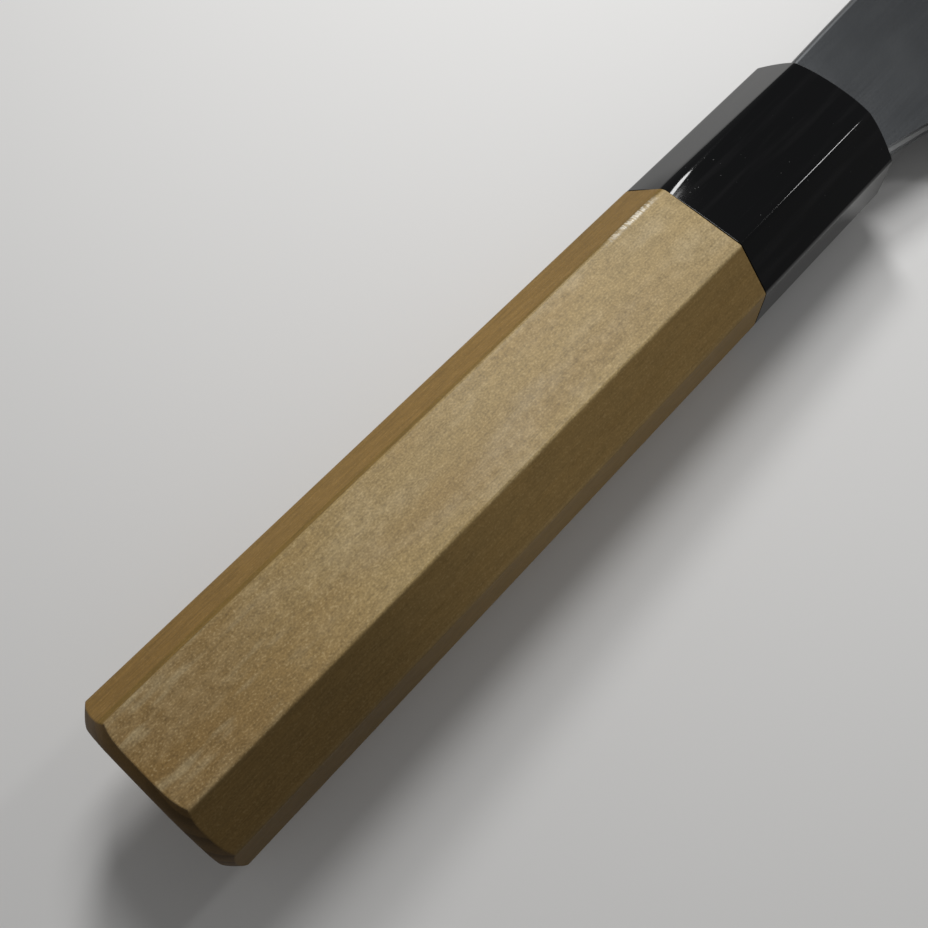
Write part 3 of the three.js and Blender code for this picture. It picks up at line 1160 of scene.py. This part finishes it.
@dataclass
class Blade:
    """The laminated blade: a hard core between two claddings, ground to a wide bevel."""

    neck_length: float = 18 * MM
    neck_height: float = 18.6 * MM
    neck_lift: float = 0.55 * MM
    neck_flare: float = 2.6 * MM
    choil_round: float = 8 * MM
    edge_length: float = 170 * MM
    heel_height: float = 46 * MM
    point_rise: float = 12 * MM
    belly_power: float = 2.6
    nose_length: float = 34 * MM
    spine_drop: float = 2.4 * MM
    spine_bow: float = 2.5 * MM
    neck_thickness: float = 3.4 * MM
    point_thickness: float = 1.3 * MM
    spine_round: float = 1.1 * MM
    heel_bevel: float = 20 * MM
    point_bevel: float = 14 * MM
    bevel_swell: float = 1.25
    edge_bevel: float = 0.6 * MM
    edge_thickness: float = 0.3 * MM
    core_thickness: float = 1.5 * MM
    weld_wave: float = 0.05 * MM
    weld_wavelength: float = 37 * MM
    weld_ripple: float = 2.7
    weld_phases: dict[Side, float] = field(default_factory=lambda: {Side.RIGHT: 0.4, Side.LEFT: 2.9})
    weld_gap: float = 0.02 * MM
    shoulder: float = -0.55 * MM
    tang_rear: float = -95.6 * MM
    tang_root_height: float = 9.5 * MM
    tang_end_height: float = 6 * MM
    tang_end_thickness: float = 2.2 * MM
    eased: float = 0.15 * MM
    eased_wall: float = 0.55 * MM
    eased_segments: int = 3
    wall_facing: float = 0.1
    side_facing: float = 0.5
    bevel_border: float = 0.15 * MM
    overrun: float = 2 * MM
    point_inset: float = 0.012 * MM
    step: float = 2 * MM
    choil_segments: int = 20
    core_rows: int = 6
    bevel_rows: int = 14
    flat_rows: int = 6
    round_rows: int = 6
    crown_rows: int = 3

    @property
    def point(self) -> float:
        """Where the blade ends."""
        return self.neck_length + self.edge_length

    @property
    def neck_top(self) -> float:
        """The height of the spine at the ferrule."""
        return self.neck_lift + self.neck_height / 2

    @property
    def neck_bottom(self) -> float:
        """The height of the underside of the neck at the ferrule."""
        return self.neck_lift - self.neck_height / 2

    @property
    def nose(self) -> float:
        """Where the spine turns down into the straight nose."""
        return self.point - self.nose_length

    def along_tang(self, root: float, end: float, x: float) -> float:
        """A size that changes evenly from the root of the tang to its end."""
        return root + (end - root) * x / self.tang_rear

    def spine_at(self, x: float) -> float:
        """The height of the spine at x."""
        along = max(x, 0.0) / self.nose
        return self.neck_top - self.spine_drop * along + 4 * self.spine_bow * along * (1 - along)

    def along_edge(self, x: float) -> float:
        """How far x lies along the edge, from 0 at the heel to 1 at the point."""
        return max(x - self.neck_length, 0.0) / self.edge_length

    @property
    def heel(self) -> float:
        """The height of the edge at the heel."""
        return self.spine_at(self.neck_length) - self.heel_height

    def edge_at(self, x: float) -> float:
        """The height of the cutting edge at x."""
        return self.heel + self.point_rise * self.along_edge(x) ** self.belly_power

    def bevel_at(self, x: float) -> float:
        """The height of the wide bevel at x."""
        return self.heel_bevel + (self.point_bevel - self.heel_bevel) * self.along_edge(x)

    def thickness_at(self, x: float) -> float:
        """The thickness of the flat sides.

        Args:
            x: The place along the blade or its tang.

        Returns:
            The thickness.
        """
        if x < 0:
            return self.along_tang(self.neck_thickness, self.tang_end_thickness, x)
        return self.neck_thickness + (self.point_thickness - self.neck_thickness) * x / self.point

    def thinning(self, x: float) -> float:
        """The thickness at x as a share of the neck's."""
        return self.thickness_at(x) / self.neck_thickness

    def weld_at(self, x: float, side: Side) -> float:
        """Half the core's thickness, with the slow wave that forging leaves.

        Args:
            x: The place along the blade.
            side: The side of the weld.

        Returns:
            The weld's distance from the middle plane.
        """
        turns = 2 * math.pi * x / self.weld_wavelength + self.weld_phases[side]
        wave = math.sin(turns) + math.sin(self.weld_ripple * turns) / 2
        waved = self.core_thickness / 2 + (self.weld_wave * wave if x >= 0 else 0.0)
        return waved * self.thinning(x)

    def on_bevel(self, x: float, up: float) -> tuple[float, float]:
        """The height and half thickness of the wide bevel.

        Args:
            x: The place along the blade.
            up: The place on the bevel, from 0 above the honed edge to 1 at the flat side.

        Returns:
            Y and Z.
        """
        swell = 1 - (1 - up) ** self.bevel_swell
        lower = self.edge_thickness / 2
        y = self.edge_at(x) + self.edge_bevel + (self.bevel_at(x) - self.edge_bevel) * up
        return y, lower + (self.thickness_at(x) / 2 - lower) * swell

    def up_at(self, x: float, z: float) -> float:
        """Finds a half thickness on the wide bevel.

        Args:
            x: The place along the blade.
            z: The half thickness.

        Returns:
            The place on the bevel, from 0 to 1.
        """
        lower = self.edge_thickness / 2
        swell = (z - lower) / (self.thickness_at(x) / 2 - lower)
        return 1 - (1 - swell) ** (1 / self.bevel_swell)

    def on_round(self, x: float, turn: float) -> tuple[float, float]:
        """The height and half thickness of the rounded spine.

        Args:
            x: The place along the blade.
            turn: The turn from the flat side.

        Returns:
            Y and Z.
        """
        radius = self.spine_round * self.thinning(x)
        y = self.spine_at(x) - radius * (1 - math.sin(turn))
        return y, self.thickness_at(x) / 2 - radius * (1 - math.cos(turn))

    def turn_at(self, x: float, z: float) -> float:
        """The turn of the rounded spine at which its half thickness is z."""
        radius = self.spine_round * self.thinning(x)
        return math.acos(1 - (self.thickness_at(x) / 2 - z) / radius)

    def cladding_section(self, x: float, side: Side) -> Ring:
        """The closed section of a cladding.

        Args:
            x: The place along the blade.
            side: The cladding's side.

        Returns:
            The points in order.
        """
        weld = self.weld_at(x, side) + self.weld_gap
        start = self.up_at(x, weld)
        turned = self.turn_at(x, weld)
        ups = [start + (1 - start) * i / self.bevel_rows for i in range(self.bevel_rows + 1)]
        rows = [self.on_bevel(x, up) for up in ups]
        (top, half), (upper, _) = rows[-1], self.on_round(x, 0.0)
        rows += [(top + (upper - top) * i / self.flat_rows, half) for i in range(1, self.flat_rows)]
        rows += [self.on_round(x, turned * i / self.round_rows) for i in range(self.round_rows + 1)]
        return [Vector((x, y, side.value * z)) for y, z in rows]

    def core_half(self, x: float, side: Side) -> Ring:
        """One side of the core's section, from above the edge up to the middle of the spine.

        Args:
            x: The place along the blade.
            side: The side.

        Returns:
            The points in order.
        """
        weld = self.weld_at(x, side)
        start, turned = self.up_at(x, weld), self.turn_at(x, weld)
        rows = [self.on_bevel(x, start * i / self.core_rows) for i in range(self.core_rows + 1)]
        rest = math.pi / 2 - turned
        rows += [self.on_round(x, turned + rest * i / self.crown_rows) for i in range(self.crown_rows + 1)]
        return [Vector((x, y, side.value * z)) for y, z in rows]

    def core_section(self, x: float) -> Ring:
        """The closed section of the core at x."""
        edge = Vector((x, self.edge_at(x), 0.0))
        return [edge, *self.core_half(x, Side.RIGHT), *reversed(self.core_half(x, Side.LEFT))]

    def blank(self, section: Callable[[float], Ring]) -> BMesh:
        """Sweeps a bar along the whole blade and tang, longer than both.

        Args:
            section: Gives the section at x.

        Returns:
            The closed bar.
        """
        sweep = Sweep(section(self.tang_rear - self.overrun))
        count = math.ceil((self.point + self.overrun) / self.step)
        for i in range(count + 1):
            sweep.grow(section((self.point + self.overrun) * i / count))
        mesh = sweep.close()
        bmesh.ops.recalc_face_normals(mesh, faces=mesh.faces)
        return mesh

    def outline(self) -> BMesh:
        """Draws the side outline, wide of the spine and the edge, which the blank gives.

        Returns:
            The outline as a solid.
        """
        far = self.heel_height + self.neck_height
        tip = Vector((self.point - self.point_inset, self.edge_at(self.point), 0))
        run = Vector((self.nose, self.spine_at(self.nose), 0)) - tip
        root = self.along_tang(self.tang_root_height, self.tang_end_height, self.shoulder) / 2
        choil = Vector((self.neck_length - self.choil_round, self.neck_bottom - self.neck_flare, 0))
        drop = self.neck_flare * self.choil_round / choil.x
        pull = Vector((self.neck_length, choil.y - drop, 0))
        heel = pull - Vector((0, self.choil_round, 0))
        shares = [i / self.choil_segments for i in range(self.choil_segments + 1)]
        points = [
            Vector((self.tang_rear, self.tang_end_height / 2, 0)),
            Vector((self.tang_rear, -self.tang_end_height / 2, 0)),
            Vector((self.shoulder, -root, 0)),
            Vector((self.shoulder, self.neck_bottom, 0)),
            *(choil.lerp(pull, share).lerp(pull.lerp(heel, share), share) for share in shares),
            Vector((self.neck_length, -far, 0)),
            tip + run * ((-far - tip.y) / run.y),
            tip + run * ((far - tip.y) / run.y),
            Vector((self.shoulder, far, 0)),
            Vector((self.shoulder, root, 0)),
        ]
        mesh = bmesh.new()
        lift = Vector((0, 0, self.neck_thickness))
        side = mesh.faces.new([mesh.verts.new(point - lift) for point in points])
        grown = bmesh.ops.extrude_face_region(mesh, geom=[side], use_keep_orig=True)["geom"]
        risen = [part for part in grown if isinstance(part, bmesh.types.BMVert)]
        bmesh.ops.translate(mesh, verts=risen, vec=2 * lift)
        bmesh.ops.recalc_face_normals(mesh, faces=mesh.faces)
        return mesh

    def trimmed(self, blank: BMesh) -> BMesh:
        """What of a blank lies inside the side outline.

        Args:
            blank: The bar to trim, which is freed.

        Returns:
            The trimmed layer.
        """
        bar = new_object("blank", blank)
        cutter = new_object("outline", self.outline())
        cut = bar.modifiers.new("side_outline", "BOOLEAN")
        cut.operation = "INTERSECT"
        cut.solver = "EXACT"
        cut.object = cutter
        made = bar.evaluated_get(bpy.context.evaluated_depsgraph_get())
        mesh = bmesh.new()
        mesh.from_mesh(made.to_mesh())
        made.to_mesh_clear()
        for used in (bar, cutter):
            data = used.data
            bpy.data.objects.remove(used)
            bpy.data.meshes.remove(data)
        return mesh

    def is_sharp(self, edge: BMEdge, side: Side) -> bool:
        """Tells an edge between a cut wall and a flat side, with steel behind it.

        Args:
            edge: An edge between two faces.
            side: The cladding's side.

        Returns:
            Whether it is to be eased.
        """
        middle = (edge.verts[0].co + edge.verts[1].co) / 2
        steel = abs(middle.z) - self.weld_at(middle.x, side)
        wall, flat = sorted(abs(face.normal.z) for face in edge.link_faces)
        turns = wall < self.wall_facing and flat > self.side_facing
        return middle.x > 0 and steel > self.eased_wall and turns

    def ease(self, mesh: BMesh, side: Side) -> None:
        """Takes the sharpness off the choil, the neck and the nose, where there is steel to take.

        Args:
            mesh: The trimmed cladding.
            side: Its side.
        """
        mesh.normal_update()
        sharp = [edge for edge in mesh.edges if edge.is_manifold and self.is_sharp(edge, side)]
        bevel_edges(mesh, sharp, self.eased, self.eased_segments)

    def build(self) -> dict[str, bpy.types.Object]:
        """Models the core and the claddings.

        Returns:
            The three pieces by name.
        """
        core = self.trimmed(self.blank(self.core_section))
        pieces = {"core": lay_piece("blade_core", core, "core_steel")}
        for side in Side:
            name = side.name.lower()
            layer = self.trimmed(self.blank(lambda x: self.cladding_section(x, side)))
            self.ease(layer, side)
            pieces[name] = lay_piece(f"blade_cladding_{name}", layer, f"{name}_cladding")
        return pieces

    def dress(self, pieces: dict[str, bpy.types.Object]) -> None:
        """Gives the core and the claddings their steels.

        Args:
            pieces: The three pieces by name.
        """
        satin, honed = SatinSteel().material(self), HonedSteel().material(self)
        for name, piece in pieces.items():
            wear_material(piece, honed if name == "core" else satin)

    def over_edge(self, paint: Paint, place: Socket) -> Value:
        """Measures up from the cutting edge.

        Args:
            paint: Writes the nodes.
            place: The place of a surface point, in millimetres.

        Returns:
            How high the point lies over the edge, in millimetres.
        """
        x, y, _ = paint.split(place)
        along = ((x - self.neck_length / MM) / (self.edge_length / MM)).clamp()
        return y - self.heel / MM - along ** self.belly_power * (self.point_rise / MM)

    def under_spine(self, paint: Paint, place: Socket) -> Value:
        """Measures down from the spine.

        Args:
            paint: Writes the nodes.
            place: The place of a surface point, in millimetres.

        Returns:
            How far the point lies under the spine, in millimetres.
        """
        x, y, _ = paint.split(place)
        along = (x / (self.nose / MM)).math("MAXIMUM", 0.0)
        bow = along * (1.0 - along) * (4 * self.spine_bow / MM)
        return bow - along * (self.spine_drop / MM) - y + self.neck_top / MM

    def bevel_mask(self, paint: Paint, place: Socket) -> Value:
        """Tells the wide bevel from the flat sides.

        Args:
            paint: Writes the nodes.
            place: The place of a surface point, in millimetres.

        Returns:
            1 on the bevel and 0 on the flat sides, with a narrow soft border.
        """
        x, _, _ = paint.split(place)
        along = ((x - self.neck_length / MM) / (self.edge_length / MM)).clamp()
        top = along * ((self.point_bevel - self.heel_bevel) / MM) + self.heel_bevel / MM
        border = self.bevel_border / MM
        return self.over_edge(paint, place).step(top + border, top - border)


# Inside of the handle


@dataclass(frozen=True)
class TangJoint:
    """The dowel, the glue and the seal round the tang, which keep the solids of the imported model."""

    def dress(self) -> None:
        """Gives each solid its finish."""
        wear_material(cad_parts["tang_dowel"], SawnWood().material())
        wear_material(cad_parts["tang_glue"], TANG_RESIN.material())
        wear_material(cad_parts["mouth_seal"], SEAL_RESIN.material())


# Studio


@dataclass(frozen=True)
class Lamp:
    """A round soft lamp that faces the ferrule."""

    name: str
    direction: Triple
    distance: float
    diameter: float
    power: float

    def hang(self, target: Vector) -> None:
        """Hangs the lamp in its direction from a target.

        Args:
            target: What it faces.
        """
        data = bpy.data.lights.new(self.name, "AREA")
        data.shape = "DISK"
        data.size = self.diameter
        data.energy = self.power
        lamp = bpy.data.objects.new(self.name, data)
        towards = Vector(self.direction).normalized()
        lamp.location = target + towards * self.distance
        lamp.rotation_euler = towards.to_track_quat("Z", "Y").to_euler()
        bpy.context.scene.collection.objects.link(lamp)


@dataclass(frozen=True)
class Studio:
    """A pale floor, three soft lamps, an even sky and the camera."""

    floor_colour: Triple = (0.76, 0.755, 0.745)
    floor_radius: float = 4.0
    floor_segments: int = 96
    floor_roughness: float = 0.85
    sky_colour: Triple = (1.0, 1.0, 1.0)
    sky_strength: float = 0.19
    lamps: tuple[Lamp, ...] = (
        Lamp("lamp_spine_side", (0.397, 0.569, 0.720), 0.30, 0.072, 0.36),
        Lamp("lamp_edge_side", (0.640, -0.200, 0.742), 0.50, 0.05, 0.20),
        Lamp("lamp_overhead", (0.250, 0.320, 0.914), 0.30, 0.12, 0.41),
    )
    lamp_target: Triple = (-14 * MM, 0.0, 10 * MM)
    eye: Triple = (-122.86 * MM, -45.67 * MM, 158.97 * MM)
    eye_right: Triple = (0.6799, -0.7332, -0.0123)
    eye_up: Triple = (0.6774, 0.6215, 0.3937)
    picture_width: float = 928.0
    focal_pixels: float = 1325.3
    sensor: float = 36.0
    nearest: float = 1 * MM

    def lay_floor(self) -> None:
        """Lays the floor that the knife lies on."""
        mesh = bmesh.new()
        bmesh.ops.create_circle(
            mesh, cap_ends=True, segments=self.floor_segments, radius=self.floor_radius,
        )
        floor = new_object("floor", mesh)
        material, paint = new_material("pale_floor")
        paint.surface({"Base Color": paint.colour(self.floor_colour), "Roughness": self.floor_roughness})
        wear_material(floor, material)

    def light(self) -> None:
        """Sets the sky and hangs the lamps."""
        world = bpy.data.worlds.new("even_sky")
        world.use_nodes = True
        paint = Paint(world.node_tree)
        inputs = {"Color": paint.colour(self.sky_colour), "Strength": self.sky_strength}
        background = paint.node("ShaderNodeBackground", {}, inputs)
        paint.node("ShaderNodeOutputWorld", {}, {"Surface": background.outputs[0]})
        bpy.context.scene.world = world
        target = LAY.matrix() @ Vector(self.lamp_target)
        for lamp in self.lamps:
            lamp.hang(target)

    def set_camera(self) -> None:
        """Sets the camera where the photograph was taken from."""
        data = bpy.data.cameras.new("camera")
        data.sensor_width = self.sensor
        data.lens = self.sensor * self.focal_pixels / self.picture_width
        data.clip_start = self.nearest
        data.clip_end = 4 * self.floor_radius
        camera = bpy.data.objects.new("camera", data)
        right, up = Vector(self.eye_right), Vector(self.eye_up)
        turn = Matrix((right, up, right.cross(up))).transposed().to_4x4()
        camera.matrix_world = LAY.matrix() @ Matrix.Translation(self.eye) @ turn
        bpy.context.scene.collection.objects.link(camera)
        bpy.context.scene.camera = camera
        bpy.context.scene.view_settings.view_transform = "Standard"


def report(piece: bpy.types.Object) -> None:
    """Logs a finished piece."""
    log.info("%s: %d faces", piece.name, len(piece.data.polygons))


def main() -> None:
    """Builds and dresses the knife, piece by piece, and sets the studio round it."""
    logging.basicConfig(level=logging.INFO, format="%(name)s %(message)s")
    studio = Studio()
    studio.set_camera()
    studio.lay_floor()
    studio.light()
    form = HandleForm()
    for part in (HandleBody(form), Ferrule(form)):
        piece = part.build()
        part.dress(piece)
        report(piece)
    blade = Blade()
    layers = blade.build()
    blade.dress(layers)
    for layer in layers.values():
        report(layer)
    TangJoint().dress()


if __name__ == "__main__":
    main()
